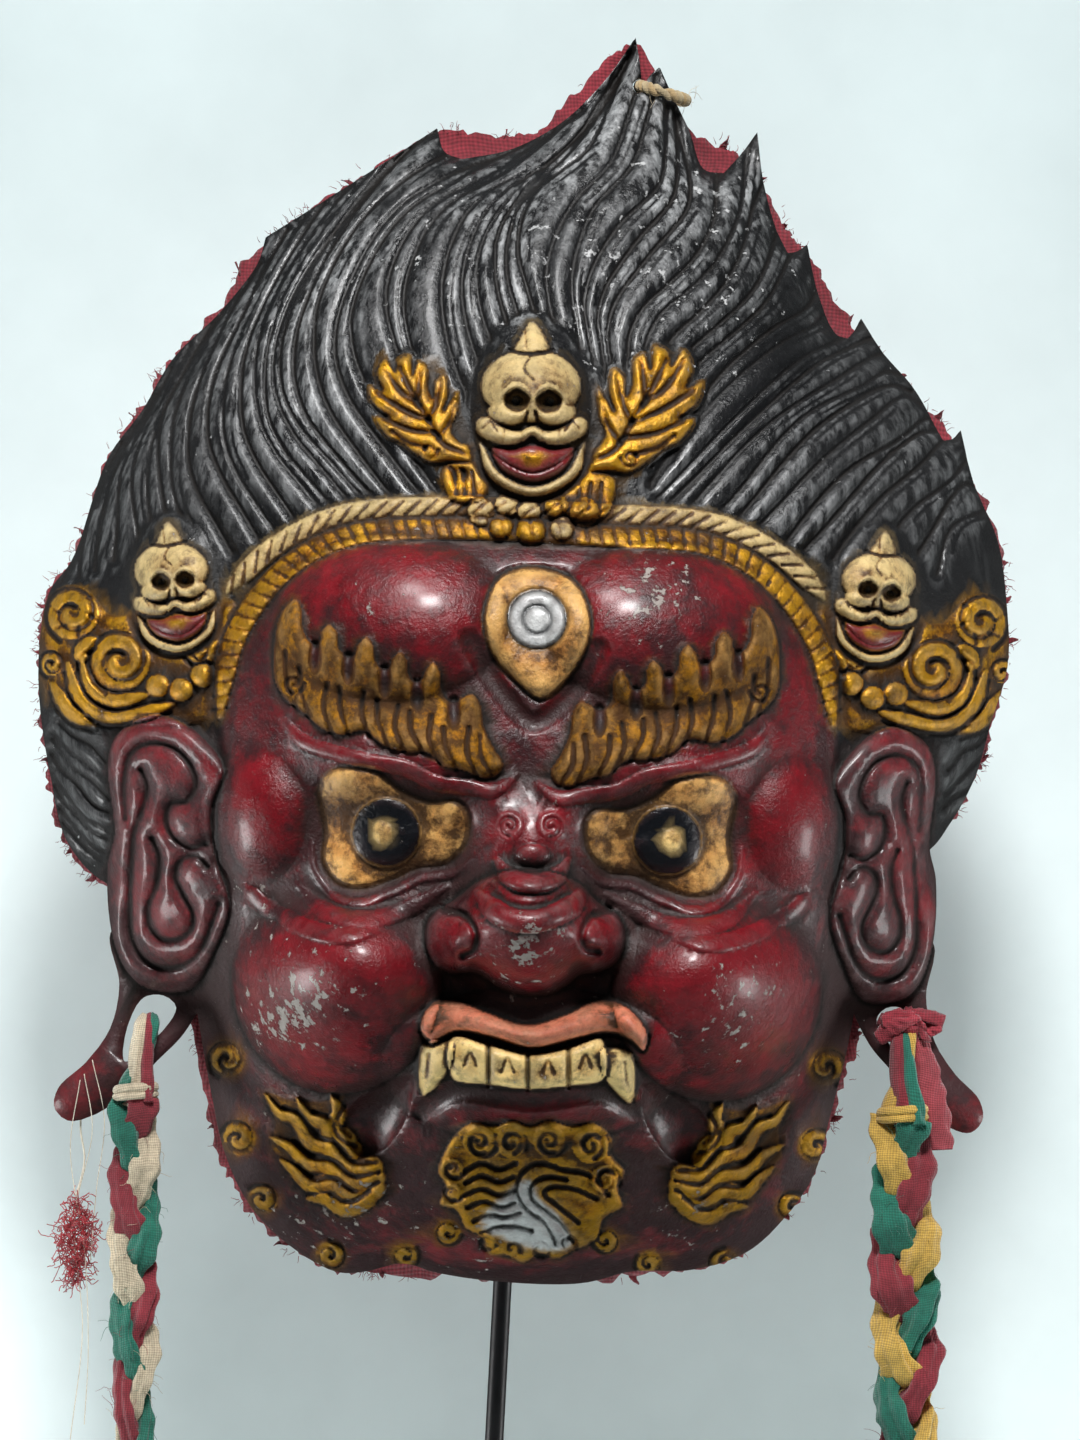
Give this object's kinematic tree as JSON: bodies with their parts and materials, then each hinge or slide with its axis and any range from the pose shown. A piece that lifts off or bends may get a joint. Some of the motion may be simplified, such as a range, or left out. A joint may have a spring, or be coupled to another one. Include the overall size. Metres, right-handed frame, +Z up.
{
  "type": "ceremonial dance mask on a display stand",
  "caption": "Wrathful dance mask with swept hair, skull diadem and braided cloth ties, hollow behind, held upright on a steel rod and plate.",
  "frame": {"origin": "centre of the underside of the stand's plate", "axes": "+Z up, the mask looks along -Y, +X to the right of someone facing the mask"},
  "size_m": [0.3122, 0.16, 0.6294],
  "materials": {
    "lacquer": "worn glossy lacquer over papier-mache",
    "lining": "faded cotton",
    "string": "twisted cotton",
    "cloth": "plaited cotton strips",
    "steel": "black satin paint"
  },
  "bodies": {
    "root": {"mask": "lacquer", "cloth_lining": "lining", "hanging_string": "string", "left_tie": "cloth", "left_braid": "cloth", "left_knot": "cloth", "right_tie": "cloth", "right_braid": "cloth", "right_knot": "cloth", "tuft_thread": "string", "wool_tuft": "cloth", "stand_rod": "steel", "stand_base": "steel"}
  },
  "joints": []
}
